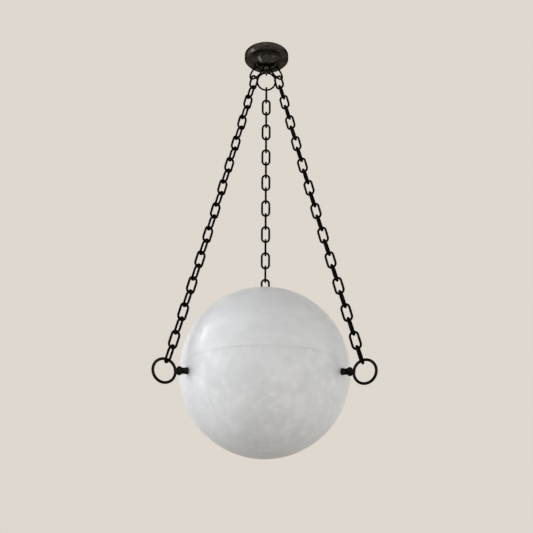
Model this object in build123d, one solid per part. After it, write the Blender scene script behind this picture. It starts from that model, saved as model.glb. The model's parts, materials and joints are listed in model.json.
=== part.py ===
"""Alabaster globe chandelier hung from a ceiling canopy by three chains.

Millimetres, +Z up. The origin is the middle of the ceiling bracket's top face, in the ceiling plane.
The chains stand at azimuths 90 (back), 210 (left) and 330 (right) degrees.
"""
import os
from math import asin, atan2, cos, degrees, radians, sin, sqrt, tan

from build123d import *

# Sides: name, azimuth, and the turn of the chain and of its top ring about their line, all in degrees
sides = (("back", 90.0, 0.0, 0.0), ("left", 210.0, 10.0, 16.0), ("right", 330.0, 4.0, -12.0))

# Alabaster globe: two hemispheres meeting at the equator
globe_radius = 225.0
globe_wall = 12.0
rim_chamfer = 0.8
lip_wall = 5.0
lip_height = 6.0
lip_clearance = 0.5
gasket_thickness = 2.0

# Ring bolts in the bowl's wall, pointing at the globe's centre
bolt_latitude = 8.0
shank_diameter = 8.0
shank_clearance = 0.5
sleeve_clearance = 0.25
shank_chamfer = 1.0
collar_length = 16.0
collar_end_diameter = 17.5
collar_waist_diameter = 15.5
collar_flange_length = 3.0
bead_diameter = 23.0
bead_length = 10.5
bead_end_diameter = 16.5
neck_diameter = 11.5
neck_length = 5.5
low_ring_diameter = 67.5
low_ring_wire = 7.3
ring_boss_diameter = 9.0
felt_diameter = 22.0
felt_thickness = 1.2
washer_diameter = 20.0
washer_thickness = 1.6
nut_flats = 13.0
nut_height = 6.5
nut_chamfer_slope = 0.6
thread_end = 3.0

# Chains
link_count = 24
link_wire = 6.2
link_inner_length = 40.9
link_inner_width = 15.9
link_gap = 0.3
chain_sag = 4.0
top_ring_diameter = 62.0
top_ring_wire = 5.5

# Canopy cover: a spun drum with a bevelled lower edge
canopy_radius = 68.5
canopy_wall_height = 12.5
canopy_depth = 20.0
canopy_bevel = 6.5
canopy_sheet = 1.5
canopy_opening_radius = 38.0

# Cast hub under the cover, with three eyes for the top rings
hub_flange_radius = 50.0
hub_flange_edge = 1.5
hub_cove_radius = 25.0
hub_height = 21.0
hub_wall = 10.0
hub_foot_wall = 5.0
hub_floor = 5.0
eye_wire = 5.5
eye_inner_radius = 4.7
eye_reach = 27.7
eye_drop = 7.4

# Ceiling bracket, hollow rod and the small hardware in the canopy
bracket_width = 24.0
bracket_thickness = 3.0
bracket_ear_height = 12.0
bracket_clearance = 0.6
ceiling_slot_spacing = 70.0
ceiling_slot_width = 5.5
ceiling_slot_length = 18.0
rod_diameter = 13.0
rod_bore_diameter = 9.5
cable_bore_diameter = 7.3
rod_clearance = 0.1
rod_tail = 2.0
rod_top_recess = 0.75
rod_nut_flats = 19.0
rod_nut_height = 5.5
screw_diameter = 4.0
screw_length = 13.0
screw_clearance = 0.15
screw_height = 8.5
screw_head_diameter = 9.5
screw_head_length = 3.2
earth_screw_offset = 18.0
earth_screw_head = 7.0
earth_screw_head_height = 2.5
earth_screw_length = 9.0
bush_flange_diameter = 14.0
bush_flange_thickness = 2.0
bush_length = 9.0
bush_clearance = 0.1
bush_chamfer = 1.0
terminal_length = 30.0
terminal_width = 17.0
terminal_height = 9.0
terminal_clearance = 2.8
terminal_pole_diameter = 4.0
terminal_poles = 3

# Lamp frame, lampholders and bulbs inside the globe
frame_thickness = 2.5
frame_arm_width = 20.0
frame_arm_overlap = 13.5
frame_tab_half_height = 12.0
frame_plate_radius = 68.0
frame_plate_drop = 82.0
frame_cable_hole_diameter = 16.0
holder_count = 3
holder_circle_radius = 42.0
holder_diameter = 36.0
holder_height = 36.0
holder_floor = 9.0
holder_foot_taper = 3.0
holder_foot_height = 5.0
holder_rim_width = 2.0
holder_rim_height = 3.0
holder_screw_diameter = 4.0
holder_screw_length = 10.0
holder_screw_head = 7.0
holder_screw_head_height = 2.5
shell_thickness = 0.5
shell_recess = 3.0
contact_diameter = 14.0
contact_thickness = 1.0
bulb_cap_diameter = 26.0
bulb_cap_clearance = 0.2
bulb_cap_length = 25.0
bulb_tip_diameter = 10.5
bulb_tip_height = 3.0
bulb_insulator_diameter = 21.0
bulb_thread_lead = 2.0
bulb_diameter = 45.0
bulb_neck_diameter = 24.0
bulb_neck_length = 15.0
bulb_shoulder_angle = 26.0

# Cable bush in the lid's crown
lid_bush_wall = 2.85
lid_bush_flange_diameter = 24.0
lid_bush_flange_thickness = 3.0
lid_bush_rounding = 1.5
lid_bush_tail = 1.5
lid_bush_clearance = 0.4
lid_bush_nut_diameter = 24.0
lid_bush_nut_height = 4.0

# Sizes that follow from the ones above
inner_radius = globe_radius - globe_wall
low_ring_radius = (low_ring_diameter - low_ring_wire) / 2
low_ring_inner = low_ring_radius - low_ring_wire / 2
top_ring_radius = (top_ring_diameter - top_ring_wire) / 2
top_ring_inner = top_ring_radius - top_ring_wire / 2
bolt_hole_radius = shank_diameter / 2 + shank_clearance
sleeve_bore_radius = shank_diameter / 2 + sleeve_clearance
crown_hole_radius = cable_bore_diameter / 2 + lid_bush_wall + lid_bush_clearance
shell_radius = bulb_cap_diameter / 2 + bulb_cap_clearance
screw_hole_radius = screw_diameter / 2 + screw_clearance
holder_screw_hole_radius = holder_screw_diameter / 2 + screw_clearance
canopy_inner_radius = canopy_radius - canopy_sheet
bevel_turn = atan2(canopy_bevel, canopy_depth - canopy_wall_height)
canopy_floor_radius = canopy_radius - canopy_bevel - canopy_sheet * tan((radians(90) - bevel_turn) / 2)
link_pitch = link_inner_length - link_gap

# Places along a ring bolt's axis, measured from the globe's centre
felt_seat = sqrt(globe_radius**2 - bolt_hole_radius**2)
collar_start = felt_seat + felt_thickness
collar_end = collar_start + collar_length
bead_end = collar_end + bead_length
neck_end = bead_end + neck_length
low_ring_reach = neck_end + low_ring_radius
inner_felt_face = sqrt(inner_radius**2 - (felt_diameter / 2) ** 2)
frame_tab_face = inner_felt_face - felt_thickness
washer_face = frame_tab_face - frame_thickness
nut_face = washer_face - washer_thickness
shank_start = nut_face - nut_height - thread_end

# The chain's line in its own vertical plane: from the hub's eye to the middle of the lower ring
hub_top = -canopy_depth
hub_bottom = hub_top - hub_height
eye_contact = (eye_reach, hub_bottom - eye_drop)
first_link_offset = 2 * top_ring_inner - 2 * link_gap
last_contact = first_link_offset + link_inner_length + (link_count - 1) * link_pitch - link_gap
line_length = last_contact + low_ring_inner
low_ring_centre_radius = low_ring_reach * cos(radians(bolt_latitude))
chain_lean = degrees(asin((low_ring_centre_radius - eye_reach) / line_length))
globe_height = (
    eye_contact[1] - line_length * cos(radians(chain_lean)) + low_ring_reach * sin(radians(bolt_latitude))
)


def outline(*edges):
    """Closed face in the XZ plane from lines and arcs given as (r, z) points."""
    return Plane.XZ * make_face(Curve() + list(edges))


def turned(face):
    """Solid of revolution about Z."""
    return revolve(face, Axis.Z)


def polygon(*points):
    """Closed face in the XZ plane with straight sides."""
    return Plane.XZ * make_face(Polyline(*points, close=True))


def ring_disc(outer_radius, bore_radius, low, high):
    """Flat ring about Z between two heights."""
    return turned(polygon((bore_radius, low), (outer_radius, low), (outer_radius, high), (bore_radius, high)))


def hex_nut(flats, bore_radius, height):
    """Hexagon nut about Z, standing on the XY plane, its corners turned down on both faces."""
    corner = flats / sqrt(3)
    blank = extrude(RegularPolygon(corner, 6), height)
    chamfer_height = (corner - flats / 2) * nut_chamfer_slope
    barrel = turned(
        polygon(
            (bore_radius, 0),
            (flats / 2, 0),
            (corner, chamfer_height),
            (corner, height - chamfer_height),
            (flats / 2, height),
            (bore_radius, height),
        )
    )
    return blank & barrel


def along_bolt(shape, azimuth):
    """Turn a shape built about +Z from the globe's centre onto a ring bolt's axis."""
    return Pos(0, 0, globe_height) * Rot(0, 0, azimuth) * Rot(0, 90 + bolt_latitude, 0) * shape


def on_each_bolt(shape):
    """The same shape on all three ring bolts, as separate solids."""
    return Compound(children=[along_bolt(shape, azimuth) for _, azimuth, *_ in sides])


# Globe


def globe_bowl():
    """Lower hemisphere with a rabbet round its rim and three bolt holes."""
    rabbet_radius = inner_radius + lip_wall + lip_clearance
    rabbet_depth = lip_height + gasket_thickness
    rabbet_inner = sqrt(inner_radius**2 - rabbet_depth**2)
    chamfer_foot = sqrt(globe_radius**2 - rim_chamfer**2)
    half = sqrt(0.5)
    shell = turned(
        outline(
            Polyline(
                (rabbet_inner, -rabbet_depth),
                (rabbet_radius, -rabbet_depth),
                (rabbet_radius, 0),
                (globe_radius - rim_chamfer, 0),
                (chamfer_foot, -rim_chamfer),
            ),
            ThreePointArc(
                (chamfer_foot, -rim_chamfer), (globe_radius * half, -globe_radius * half), (0, -globe_radius)
            ),
            Line((0, -globe_radius), (0, -inner_radius)),
            ThreePointArc(
                (0, -inner_radius), (inner_radius * half, -inner_radius * half), (rabbet_inner, -rabbet_depth)
            ),
        )
    )
    shell = Pos(0, 0, globe_height) * shell
    drill = Pos(0, 0, inner_radius - globe_wall) * Cylinder(
        bolt_hole_radius, 3 * globe_wall, align=(Align.CENTER, Align.CENTER, Align.MIN)
    )
    for _, azimuth, *_ in sides:
        shell -= along_bolt(drill, azimuth)
    return shell


def seam_gasket():
    """Soft ring in the bottom of the bowl's rabbet."""
    low = globe_height - lip_height - gasket_thickness
    return ring_disc(inner_radius + lip_wall, inner_radius + lip_clearance, low, low + gasket_thickness)


def globe_lid():
    """Upper hemisphere with a lip that drops into the bowl, and a cable hole in its crown."""
    lip_outer = inner_radius + lip_wall
    chamfer_foot = sqrt(globe_radius**2 - rim_chamfer**2)
    crown_outer = sqrt(globe_radius**2 - crown_hole_radius**2)
    crown_inner = sqrt(inner_radius**2 - crown_hole_radius**2)
    half = sqrt(0.5)
    return Pos(0, 0, globe_height) * turned(
        outline(
            Polyline(
                (inner_radius, 0),
                (inner_radius, -lip_height),
                (lip_outer, -lip_height),
                (lip_outer, 0),
                (globe_radius - rim_chamfer, 0),
                (chamfer_foot, rim_chamfer),
            ),
            ThreePointArc(
                (chamfer_foot, rim_chamfer), (globe_radius * half, globe_radius * half), (crown_hole_radius, crown_outer)
            ),
            Line((crown_hole_radius, crown_outer), (crown_hole_radius, crown_inner)),
            ThreePointArc(
                (crown_hole_radius, crown_inner), (inner_radius * half, inner_radius * half), (inner_radius, 0)
            ),
        )
    )


def lid_bush_seats():
    """Heights where the crown bush's flange and its nut bear on the lid's crown."""
    flange_seat = globe_height + sqrt(globe_radius**2 - crown_hole_radius**2)
    nut_seat = globe_height + sqrt(inner_radius**2 - (lid_bush_nut_diameter / 2) ** 2)
    return flange_seat, nut_seat


def lid_bush():
    """Flanged bush through the lid's crown, with a rounded rim for the cable."""
    flange_seat, nut_seat = lid_bush_seats()
    bore = cable_bore_diameter / 2
    barrel = bore + lid_bush_wall
    flange = lid_bush_flange_diameter / 2
    low = nut_seat - lid_bush_nut_height - lid_bush_tail
    top = flange_seat + lid_bush_flange_thickness
    rounding = lid_bush_rounding
    return turned(
        polygon(
            (bore, low),
            (barrel, low),
            (barrel, flange_seat),
            (flange, flange_seat),
            (flange, top - rounding),
            (flange - rounding, top),
            (bore + rounding, top),
            (bore, top - rounding),
        )
    )


def lid_bush_nut():
    """Round nut that clamps the crown bush from inside the lid."""
    _, nut_seat = lid_bush_seats()
    bore = cable_bore_diameter / 2 + lid_bush_wall
    return ring_disc(lid_bush_nut_diameter / 2, bore, nut_seat - lid_bush_nut_height, nut_seat)


# Ring bolts and what they clamp


def ring_bolt():
    """Threaded shank, barrel bead, neck and a welded ring, about +Z from the globe's centre."""
    shank = shank_diameter / 2
    bead = bead_diameter / 2
    neck = neck_diameter / 2
    bead_edge = bead_end_diameter / 2
    bead_middle = (collar_end + bead_end) / 2
    stem = turned(
        outline(
            Polyline(
                (0, shank_start),
                (shank - shank_chamfer, shank_start),
                (shank, shank_start + shank_chamfer),
                (shank, collar_end),
            ),
            Line((shank, collar_end), (bead_edge, collar_end)),
            ThreePointArc((bead_edge, collar_end), (bead, bead_middle), (bead_edge, bead_end)),
            Polyline((bead_edge, bead_end), (neck, bead_end), (neck, neck_end), (0, neck_end), (0, shank_start)),
        )
    )
    ring = Pos(0, 0, low_ring_reach) * Rot(90, 0, 0) * Torus(low_ring_radius, low_ring_wire / 2)
    boss = Pos(0, 0, neck_end) * Sphere(ring_boss_diameter / 2)
    return stem + ring + boss


def spool_collar():
    """Waisted sleeve between the bead and the globe."""
    bore = sleeve_bore_radius
    end = collar_end_diameter / 2
    waist = collar_waist_diameter / 2
    foot = collar_start + collar_flange_length
    return turned(
        outline(
            Polyline((bore, collar_end), (bore, collar_start), (end, collar_start), (end, foot)),
            ThreePointArc((end, foot), (waist, (foot + collar_end) / 2), (end, collar_end)),
            Line((end, collar_end), (bore, collar_end)),
        )
    )


def felt_ring(low, diameter):
    """Felt washer on a ring bolt's axis, standing from the given distance."""
    return ring_disc(diameter / 2, sleeve_bore_radius, low, low + felt_thickness)


def bolt_washer():
    """Steel washer between the lamp frame and the nut."""
    return ring_disc(washer_diameter / 2, sleeve_bore_radius, nut_face, washer_face)


def bolt_nut():
    """Nut on the inner end of a ring bolt."""
    return Pos(0, 0, nut_face - nut_height) * hex_nut(nut_flats, shank_diameter / 2, nut_height)


# Lamp frame, lampholders and bulbs


def lamp_frame():
    """Round plate on three bent arms, each arm's tab clamped on a ring bolt."""
    plate_low = -frame_plate_drop
    plate = ring_disc(
        frame_plate_radius, frame_cable_hole_diameter / 2, plate_low, plate_low + frame_thickness
    )
    tilt = radians(bolt_latitude)
    out = (cos(tilt), -sin(tilt))
    up = (sin(tilt), cos(tilt))

    def on_tab(along, rise):
        return (along * out[0] + rise * up[0], along * out[1] + rise * up[1])

    tab_foot = on_tab(frame_tab_face, -frame_tab_half_height)
    tab_back = on_tab(washer_face, -frame_tab_half_height)
    reach = frame_plate_radius - frame_arm_overlap
    profile = polygon(
        on_tab(frame_tab_face, frame_tab_half_height),
        tab_foot,
        (tab_foot[0] - frame_thickness, tab_foot[1] - frame_thickness),
        (frame_plate_radius, plate_low),
        (reach, plate_low),
        (reach, plate_low + frame_thickness),
        (frame_plate_radius, plate_low + frame_thickness),
        tab_back,
        on_tab(washer_face, frame_tab_half_height),
    )
    arm = extrude(profile, frame_arm_width / 2, both=True)
    drill = Rot(0, 90 + bolt_latitude, 0) * Pos(0, 0, frame_tab_face) * Cylinder(
        sleeve_bore_radius, 4 * frame_thickness
    )
    arm -= drill
    frame = plate
    for _, azimuth, *_ in sides:
        frame += Rot(0, 0, azimuth) * arm
    for spot in holder_spots():
        frame -= spot * Pos(0, 0, plate_low) * Cylinder(holder_screw_hole_radius, 4 * frame_thickness)
    return Pos(0, 0, globe_height) * frame


def holder_spots():
    """Places of the lampholders round the plate, between the arms."""
    return [
        Rot(0, 0, sides[0][1] + 180 / holder_count + i * 360 / holder_count) * Pos(holder_circle_radius, 0, 0)
        for i in range(holder_count)
    ]


def lampholder():
    """Porcelain cup with a screw hole in its floor, standing on the XY plane."""
    outer = holder_diameter / 2
    bore = shell_radius + shell_thickness
    hole = holder_screw_hole_radius
    return turned(
        polygon(
            (hole, 0),
            (outer - holder_foot_taper, 0),
            (outer, holder_foot_height),
            (outer, holder_height - holder_rim_height),
            (outer - holder_rim_width, holder_height),
            (bore, holder_height),
            (bore, holder_floor),
            (hole, holder_floor),
        )
    )


def holder_screw():
    """Screw from under the lamp frame's plate into the lampholder's floor, its head below the XY plane."""
    head_top = -frame_thickness
    shank = holder_screw_diameter / 2
    head = holder_screw_head / 2
    tip = head_top + holder_screw_length
    return turned(
        polygon(
            (0, head_top - holder_screw_head_height),
            (head, head_top - holder_screw_head_height),
            (head, head_top),
            (shank, head_top),
            (shank, tip),
            (0, tip),
        )
    )


def socket_shell():
    """Brass screw shell that lines the lampholder's bore."""
    return ring_disc(shell_radius + shell_thickness, shell_radius, holder_floor, holder_height - shell_recess)


def centre_contact():
    """Contact disc on the lampholder's floor, under the bulb's tip."""
    return ring_disc(contact_diameter / 2, holder_screw_hole_radius, holder_floor, holder_floor + contact_thickness)


def bulb_cap():
    """Screw cap of a bulb, standing on the XY plane, with its contact tip."""
    radius = bulb_cap_diameter / 2
    return turned(
        polygon(
            (0, 0),
            (bulb_tip_diameter / 2, 0),
            (bulb_insulator_diameter / 2, bulb_tip_height),
            (radius, bulb_tip_height + bulb_thread_lead),
            (radius, bulb_cap_length),
            (0, bulb_cap_length),
        )
    )


def bulb_glass():
    """Round glass envelope on a tapered neck, standing on the XY plane."""
    ball = bulb_diameter / 2
    shoulder_radius = ball * cos(radians(bulb_shoulder_angle))
    ball_centre = bulb_neck_length + ball * sin(radians(bulb_shoulder_angle))
    return turned(
        outline(
            Polyline((0, 0), (bulb_neck_diameter / 2, 0), (shoulder_radius, bulb_neck_length)),
            ThreePointArc((shoulder_radius, bulb_neck_length), (ball, ball_centre), (0, ball_centre + ball)),
            Line((0, ball_centre + ball), (0, 0)),
        )
    )


# Chains


def chain_link():
    """One welded link along Z, its loop in the XZ plane."""
    bend = (link_inner_width + link_wire) / 2
    straight = link_inner_length - link_inner_width
    section = Pos(bend, 0, 0) * Circle(link_wire / 2)
    half_turn = revolve(section, Axis((0, 0, 0), (0, -1, 0)), 180)
    top = Pos(0, 0, straight / 2) * half_turn
    low = Pos(0, 0, -straight / 2) * Rot(0, 180, 0) * half_turn
    bar = Cylinder(link_wire / 2, straight)
    return top + Pos(bend, 0, 0) * bar + Pos(-bend, 0, 0) * bar + low


def on_line(distance, sideways=0.0):
    """Point (r, z) on the chain's line below the eye, moved sideways towards the axis."""
    lean = radians(chain_lean)
    radius = eye_contact[0] + distance * sin(lean) - sideways * cos(lean)
    height = eye_contact[1] - distance * cos(lean) - sideways * sin(lean)
    return radius, height


def link_place(index, twist):
    """Place of one link: its middle on the sagging line, every second link turned a quarter."""
    middle = first_link_offset + link_inner_length / 2 + index * link_pitch
    span = last_contact - first_link_offset
    share = (middle - first_link_offset) / span
    radius, height = on_line(middle, 4 * chain_sag * share * (1 - share))
    slope = degrees(atan2(4 * chain_sag * (1 - 2 * share), span))
    return Pos(radius, 0, height) * Rot(0, slope - chain_lean, 0) * Rot(0, 0, twist + 90 * (index % 2))


def links(first, last, azimuth, twist):
    """Links from first to last, counted from the top, as separate solids."""
    link = chain_link()
    around = Rot(0, 0, azimuth)
    return Compound(children=[around * link_place(i, twist) * link for i in range(first - 1, last)])


def top_ring(azimuth, turn):
    """Plain ring through the hub's eye, leaning along its chain and turned about that line."""
    radius, height = on_line(top_ring_inner - link_gap)
    ring = Rot(0, -chain_lean, 0) * Rot(0, 0, turn) * Rot(0, 90, 0) * Torus(top_ring_radius, top_ring_wire / 2)
    return Rot(0, 0, azimuth) * Pos(radius, 0, height) * ring


# Canopy


def canopy_cover():
    """Spun drum, open at the ceiling, bevelled below, with an opening for the hub."""
    bevel_end = canopy_radius - canopy_bevel
    wall_corner = canopy_sheet * tan(bevel_turn / 2)
    drum = turned(
        polygon(
            (canopy_radius, 0),
            (canopy_radius, -canopy_wall_height),
            (bevel_end, -canopy_depth),
            (canopy_opening_radius, -canopy_depth),
            (canopy_opening_radius, -canopy_depth + canopy_sheet),
            (canopy_floor_radius, -canopy_depth + canopy_sheet),
            (canopy_inner_radius, -canopy_wall_height + wall_corner),
            (canopy_inner_radius, 0),
        )
    )
    return drum - cross_drill()


def cross_drill():
    """Cutter for the two screw holes through the cover's wall and the bracket's ears."""
    return Pos(0, 0, -screw_height) * Rot(90, 0, 0) * Cylinder(screw_hole_radius, 3 * canopy_radius)


def canopy_hub():
    """Coved casting that carries the load, with three eyes standing in the chains' planes."""
    cove_top = hub_top - hub_flange_edge
    cove_centre = (hub_flange_radius, cove_top - hub_cove_radius)
    foot_rise = hub_bottom - cove_centre[1]
    foot_radius = hub_flange_radius - sqrt(hub_cove_radius**2 - foot_rise**2)
    middle = radians(90 + degrees(atan2(foot_rise, foot_radius - hub_flange_radius))) / 2
    cove_middle = (
        cove_centre[0] + hub_cove_radius * cos(middle),
        cove_centre[1] + hub_cove_radius * sin(middle),
    )
    bore = rod_diameter / 2 + rod_clearance
    body = turned(
        outline(
            Line((hub_flange_radius, hub_top), (hub_flange_radius, cove_top)),
            ThreePointArc((hub_flange_radius, cove_top), cove_middle, (foot_radius, hub_bottom)),
            Polyline(
                (foot_radius, hub_bottom),
                (bore, hub_bottom),
                (bore, hub_bottom + hub_floor),
                (foot_radius - hub_foot_wall, hub_bottom + hub_floor),
                (hub_flange_radius - hub_wall, hub_top),
                (hub_flange_radius, hub_top),
            ),
        )
    )
    eye_radius, eye_height = on_line(-eye_inner_radius)
    eye = Pos(eye_radius, 0, eye_height) * Rot(90, 0, 0) * Torus(eye_inner_radius + eye_wire / 2, eye_wire / 2)
    for _, azimuth, *_ in sides:
        body += Rot(0, 0, azimuth) * eye
    return body


def ceiling_bracket():
    """Steel strap across the ceiling box, its ears bent down for the cover's screws."""
    ear_face = sqrt(canopy_inner_radius**2 - (bracket_width / 2) ** 2) - bracket_clearance
    strap = Pos(0, 0, -bracket_thickness / 2) * Box(bracket_width, 2 * ear_face, bracket_thickness)
    ear = Pos(0, ear_face - bracket_thickness / 2, -bracket_ear_height / 2) * Box(
        bracket_width, bracket_thickness, bracket_ear_height
    )
    bracket = strap + ear + mirror(ear, Plane.XZ)
    slot = extrude(SlotOverall(ceiling_slot_length, ceiling_slot_width, rotation=90), bracket_thickness, both=True)
    for side in (-1, 1):
        bracket -= Pos(0, side * ceiling_slot_spacing / 2, 0) * slot
    bracket -= Cylinder(rod_diameter / 2 + rod_clearance, 4 * bracket_thickness)
    bracket -= Pos(0, earth_screw_offset, 0) * Cylinder(screw_hole_radius, 4 * bracket_thickness)
    return bracket - cross_drill()


def canopy_screws():
    """Two round-headed screws through the cover's wall into the bracket's ears."""
    head = screw_head_diameter / 2
    shank = screw_diameter / 2
    tip = canopy_radius - screw_length
    top = canopy_radius + screw_head_length
    dome = (head**2 + screw_head_length**2) / (2 * screw_head_length)
    half_angle = asin(head / dome) / 2
    dome_middle = (dome * sin(half_angle), top - dome + dome * cos(half_angle))
    screw = turned(
        outline(
            Polyline((0, tip), (shank, tip), (shank, canopy_radius), (head, canopy_radius)),
            ThreePointArc((head, canopy_radius), dome_middle, (0, top)),
            Line((0, top), (0, tip)),
        )
    )
    sideways = Pos(0, 0, -screw_height) * Rot(90, 0, 0) * screw
    return Compound(children=[sideways, Rot(0, 0, 180) * sideways])


def earth_screw():
    """Earthing screw in the strap, its head below."""
    head = Pos(0, 0, -bracket_thickness - earth_screw_head_height / 2) * Cylinder(
        earth_screw_head / 2, earth_screw_head_height
    )
    shank = Pos(0, 0, -earth_screw_length / 2) * Cylinder(screw_diameter / 2, earth_screw_length)
    return Pos(0, earth_screw_offset, 0) * (head + shank)


def hanging_rod():
    """Hollow threaded rod from the strap through the hub's floor."""
    low = hub_bottom - rod_nut_height - rod_tail
    return ring_disc(rod_diameter / 2, rod_bore_diameter / 2, low, -rod_top_recess)


def rod_nuts():
    """Lock nut under the strap and bearing nut under the hub."""
    nut = hex_nut(rod_nut_flats, rod_diameter / 2 + rod_clearance, rod_nut_height)
    strap_nut = Pos(0, 0, -bracket_thickness - rod_nut_height) * nut
    hub_nut = Pos(0, 0, hub_bottom - rod_nut_height) * nut
    return Compound(children=[strap_nut, hub_nut])


def cable_bush():
    """Flanged sleeve in the rod's lower end, where the cable leaves."""
    seat = hub_bottom - rod_nut_height - rod_tail
    barrel = rod_bore_diameter / 2 - bush_clearance
    bore = cable_bore_diameter / 2
    flange = bush_flange_diameter / 2
    return turned(
        polygon(
            (bore, seat - bush_flange_thickness),
            (flange - bush_chamfer, seat - bush_flange_thickness),
            (flange, seat - bush_flange_thickness + bush_chamfer),
            (flange, seat),
            (barrel, seat),
            (barrel, seat + bush_length - bush_flange_thickness),
            (bore, seat + bush_length - bush_flange_thickness),
        )
    )


def terminal_block():
    """Ceramic connector on the cover's floor, with a row of screw wells."""
    floor = -canopy_depth + canopy_sheet
    block = Box(
        terminal_width, terminal_length, terminal_height, align=(Align.CENTER, Align.CENTER, Align.MIN)
    )
    step = terminal_length / terminal_poles
    for i in range(terminal_poles):
        along = (i - (terminal_poles - 1) / 2) * step
        block -= Pos(0, along, terminal_height) * Cylinder(terminal_pole_diameter / 2, terminal_height)
    corner_radius = canopy_floor_radius - terminal_clearance
    offset = sqrt(corner_radius**2 - (terminal_length / 2) ** 2) - terminal_width / 2
    return Pos(-offset, 0, floor) * block


def build():
    """Every node of the chandelier by name."""
    nodes = {
        "ceiling_bracket": ceiling_bracket(),
        "canopy_cover": canopy_cover(),
        "canopy_hub": canopy_hub(),
        "hanging_rod": hanging_rod(),
        "rod_nuts": rod_nuts(),
        "canopy_screws": canopy_screws(),
        "earth_screw": earth_screw(),
        "cable_bush": cable_bush(),
        "terminal_block": terminal_block(),
        "globe_bowl": globe_bowl(),
        "seam_gasket": seam_gasket(),
        "globe_lid": globe_lid(),
        "lid_bush": lid_bush(),
        "lid_bush_nut": lid_bush_nut(),
        "outer_felts": on_each_bolt(felt_ring(felt_seat, collar_end_diameter)),
        "inner_felts": on_each_bolt(felt_ring(frame_tab_face, felt_diameter)),
        "bolt_washers": on_each_bolt(bolt_washer()),
        "bolt_nuts": on_each_bolt(bolt_nut()),
        "lamp_frame": lamp_frame(),
    }
    for side, azimuth, twist, ring_turn in sides:
        nodes[f"{side}_top_ring"] = top_ring(azimuth, ring_turn)
        nodes[f"{side}_first_link"] = links(1, 1, azimuth, twist)
        nodes[f"{side}_chain"] = links(2, link_count - 2, azimuth, twist)
        nodes[f"{side}_lower_link"] = links(link_count - 1, link_count - 1, azimuth, twist)
        nodes[f"{side}_end_link"] = links(link_count, link_count, azimuth, twist)
        nodes[f"{side}_ring_bolt"] = along_bolt(ring_bolt(), azimuth)
        nodes[f"{side}_spool_collar"] = along_bolt(spool_collar(), azimuth)
    plate_top = Pos(0, 0, globe_height - frame_plate_drop + frame_thickness)
    holder_places = [plate_top * spot for spot in holder_spots()]
    nodes["holder_screws"] = Compound(children=[place * holder_screw() for place in holder_places])
    nodes["socket_shells"] = Compound(children=[place * socket_shell() for place in holder_places])
    nodes["centre_contacts"] = Compound(children=[place * centre_contact() for place in holder_places])
    for i, place in enumerate(holder_places, start=1):
        cap_foot = place * Pos(0, 0, holder_floor + contact_thickness)
        nodes[f"lampholder_{i}"] = place * lampholder()
        nodes[f"bulb_cap_{i}"] = cap_foot * bulb_cap()
        nodes[f"bulb_glass_{i}"] = cap_foot * Pos(0, 0, bulb_cap_length) * bulb_glass()
    return nodes


if __name__ == "__main__":
    os.makedirs("parts", exist_ok=True)
    print(f"chain leans {chain_lean:.3f} degrees, globe centre at z {globe_height:.2f}")
    for name, shape in build().items():
        export_step(shape, f"parts/{name}.step")
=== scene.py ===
import json
from math import acos, asin, atan2, cos, degrees, pi, radians, sin, sqrt, tan

import bmesh
import bpy
from mathutils import Matrix, Vector

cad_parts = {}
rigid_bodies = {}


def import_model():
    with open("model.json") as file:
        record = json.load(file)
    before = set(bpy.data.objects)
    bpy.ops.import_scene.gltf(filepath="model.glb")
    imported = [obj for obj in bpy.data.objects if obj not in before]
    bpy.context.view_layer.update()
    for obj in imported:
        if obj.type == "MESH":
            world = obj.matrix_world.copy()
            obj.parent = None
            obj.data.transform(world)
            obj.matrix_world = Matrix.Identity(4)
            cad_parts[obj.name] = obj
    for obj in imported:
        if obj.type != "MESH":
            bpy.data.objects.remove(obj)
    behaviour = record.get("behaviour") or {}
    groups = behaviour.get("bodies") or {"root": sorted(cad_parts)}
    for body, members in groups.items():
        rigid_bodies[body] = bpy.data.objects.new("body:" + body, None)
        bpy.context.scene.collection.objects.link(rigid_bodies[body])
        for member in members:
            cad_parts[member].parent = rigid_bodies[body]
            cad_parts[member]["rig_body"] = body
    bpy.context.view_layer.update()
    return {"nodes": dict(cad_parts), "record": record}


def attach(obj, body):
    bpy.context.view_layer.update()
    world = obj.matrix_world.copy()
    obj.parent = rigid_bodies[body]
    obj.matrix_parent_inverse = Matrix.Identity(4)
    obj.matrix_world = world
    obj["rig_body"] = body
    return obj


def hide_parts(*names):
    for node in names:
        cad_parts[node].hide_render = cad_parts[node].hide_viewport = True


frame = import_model()
scene = bpy.context.scene

MM = 0.001

# Globe, in millimetres
globe_radius = 225.0
globe_wall = 12.0
inner_radius = globe_radius - globe_wall
globe_height = -1027.4449
rim_rounding = 0.2
lip_wall = 5.0
lip_height = 6.0
lip_clearance = 0.5
lid_seat = 0.03
gasket_thickness = 2.0
crown_hole = 6.9
stone_steps = 208

# Ring bolts
bolt_latitude = 8.0
shank_radius = 4.0
shank_overhang = 3.0
thread_pitch = 1.25
thread_depth = 0.35
bolt_hole_radius = 4.5
sleeve_bore = 4.25
felt_thickness = 1.2
inner_felt_radius = 11.0
collar_length = 16.0
collar_radius = 8.75
collar_waist = 7.75
collar_foot = 3.0
bead_length = 10.5
bead_radius = 11.5
bead_end_radius = 8.25
bead_face_radius = 7.6
neck_length = 5.5
neck_radius = 5.75
weld_boss_radius = 4.5
low_ring_wire = 7.3
low_ring_radius = 30.1
frame_thickness = 2.5
washer_radius = 10.0
washer_thickness = 1.6
nut_flats = 13.0
nut_height = 6.5
felt_seat = sqrt(globe_radius**2 - bolt_hole_radius**2)
collar_start = felt_seat + felt_thickness
collar_end = collar_start + collar_length
bead_end = collar_end + bead_length
neck_end = bead_end + neck_length
low_ring_reach = neck_end + low_ring_radius
inner_felt_face = sqrt(inner_radius**2 - inner_felt_radius**2)
frame_tab_face = inner_felt_face - felt_thickness
washer_face = frame_tab_face - frame_thickness
nut_face = washer_face - washer_thickness
shank_start = nut_face - nut_height - shank_overhang

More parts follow.
